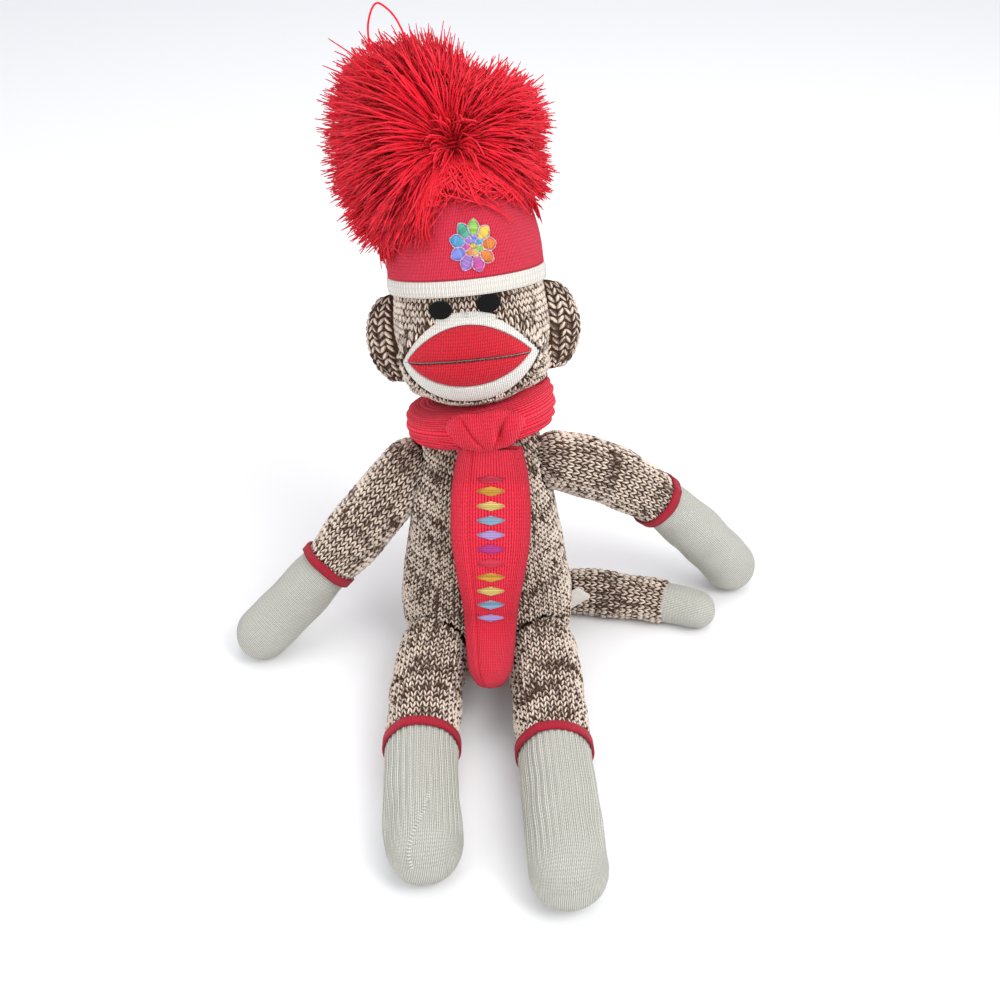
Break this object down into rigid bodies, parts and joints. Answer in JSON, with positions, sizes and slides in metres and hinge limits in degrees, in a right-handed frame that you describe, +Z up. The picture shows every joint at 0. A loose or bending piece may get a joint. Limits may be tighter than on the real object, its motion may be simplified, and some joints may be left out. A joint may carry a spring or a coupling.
{
  "type": "stuffed sock monkey doll",
  "caption": "Seated stuffed sock monkey doll with knitted hat, yarn pom-pom and scarf; head, arms, legs, ears, tail and scarf end move.",
  "frame": {"origin": "middle of the flat seat under the rump, on the floor", "axes": "+Z up, the doll faces -Y, +X is the doll's own left"},
  "size_m": [0.3256, 0.357, 0.3427],
  "materials": {
    "ragg_marl_knit": "matte",
    "polyester_filling": "matte",
    "cream_knit": "matte",
    "crimson_ribbon": "matte",
    "red_knit": "matte",
    "black_thread": "matte",
    "black_felt": "matte",
    "white_ribbing": "matte",
    "red_yarn": "matte",
    "scarf_red_knit": "matte",
    "white_satin_label": "matte"
  },
  "bodies": {
    "torso": {"torso_skin": "ragg_marl_knit", "torso_stuffing": "polyester_filling", "scarf_collar": "scarf_red_knit", "scarf_knot": "scarf_red_knit", "label_tag": "white_satin_label"},
    "neck": {"neck_stuffing": "polyester_filling"},
    "head": {"head_skin": "ragg_marl_knit", "head_stuffing": "polyester_filling", "muzzle_cream": "cream_knit", "upper_lip": "red_knit", "lower_lip": "red_knit", "mouth_thread": "black_thread", "muzzle_stuffing": "polyester_filling", "right_eye": "black_felt", "left_eye": "black_felt", "hat_brim": "white_ribbing", "hat_crown": "red_knit", "pompom": "red_yarn", "pompom_tie": "red_yarn"},
    "right_ear": {"right_ear": "ragg_marl_knit"},
    "left_ear": {"left_ear": "ragg_marl_knit"},
    "right_arm": {"right_arm_sleeve": "ragg_marl_knit", "right_hand": "cream_knit", "right_wrist_ribbon": "crimson_ribbon", "right_arm_stuffing": "polyester_filling"},
    "right_leg": {"right_leg_sleeve": "ragg_marl_knit", "right_foot": "cream_knit", "right_ankle_ribbon": "crimson_ribbon", "right_leg_stuffing": "polyester_filling"},
    "left_arm": {"left_arm_sleeve": "ragg_marl_knit", "left_hand": "cream_knit", "left_wrist_ribbon": "crimson_ribbon", "left_arm_stuffing": "polyester_filling"},
    "left_leg": {"left_leg_sleeve": "ragg_marl_knit", "left_foot": "cream_knit", "left_ankle_ribbon": "crimson_ribbon", "left_leg_stuffing": "polyester_filling"},
    "tail": {"tail_tube": "ragg_marl_knit", "tail_tip": "cream_knit", "tail_stuffing": "polyester_filling"},
    "scarf_hanging": {"scarf_end": "scarf_red_knit"}
  },
  "joints": [
    {"name": "neck_turn", "type": "hinge", "parent": "torso", "child": "neck", "pos_m": [-0.0045, 0.0405, 0.146], "axis": [-0.0988, 0.3256, 0.9403], "range_deg": [-40, 40]},
    {"name": "head_nod", "type": "hinge", "parent": "neck", "child": "head", "pos_m": [-0.0045, 0.0405, 0.146], "axis": [0.9945, 0, 0.1045], "range_deg": [-8, 6]},
    {"name": "right_ear_flap", "type": "hinge", "parent": "head", "child": "right_ear", "pos_m": [-0.0517, 0.05861, 0.18156], "axis": [-0.0988, 0.3256, 0.9403], "range_deg": [-12, 12]},
    {"name": "left_ear_flap", "type": "hinge", "parent": "head", "child": "left_ear", "pos_m": [0.03428, 0.05861, 0.1906], "axis": [-0.0988, 0.3256, 0.9403], "range_deg": [-12, 12]},
    {"name": "right_shoulder_raise", "type": "hinge", "parent": "torso", "child": "right_arm", "pos_m": [-0.04739, 0.03, 0.11], "axis": [-0.4298, 0.9029, 0], "range_deg": [0, 70]},
    {"name": "left_shoulder_raise", "type": "hinge", "parent": "torso", "child": "left_arm", "pos_m": [0.04045, 0.03, 0.115], "axis": [0.1923, -0.9813, 0], "range_deg": [0, 70]},
    {"name": "right_hip_swing", "type": "hinge", "parent": "torso", "child": "right_leg", "pos_m": [-0.0325, -0.034, 0.0207], "axis": [-0.7071, 0.002, -0.7071], "range_deg": [0, 50]},
    {"name": "left_hip_swing", "type": "hinge", "parent": "torso", "child": "left_leg", "pos_m": [0.0325, -0.034, 0.0207], "axis": [-0.7064, -0.0437, 0.7064], "range_deg": [0, 50]},
    {"name": "tail_swing", "type": "hinge", "parent": "torso", "child": "tail", "pos_m": [0.041, 0.029, 0.014], "axis": [-0.1383, -0.7003, -0.7003], "range_deg": [0, 24]},
    {"name": "scarf_end_swing", "type": "hinge", "parent": "torso", "child": "scarf_hanging", "pos_m": [0.0003, -0.00715, 0.14709], "axis": [-1, 0, 0], "range_deg": [0, 60]}
  ]
}
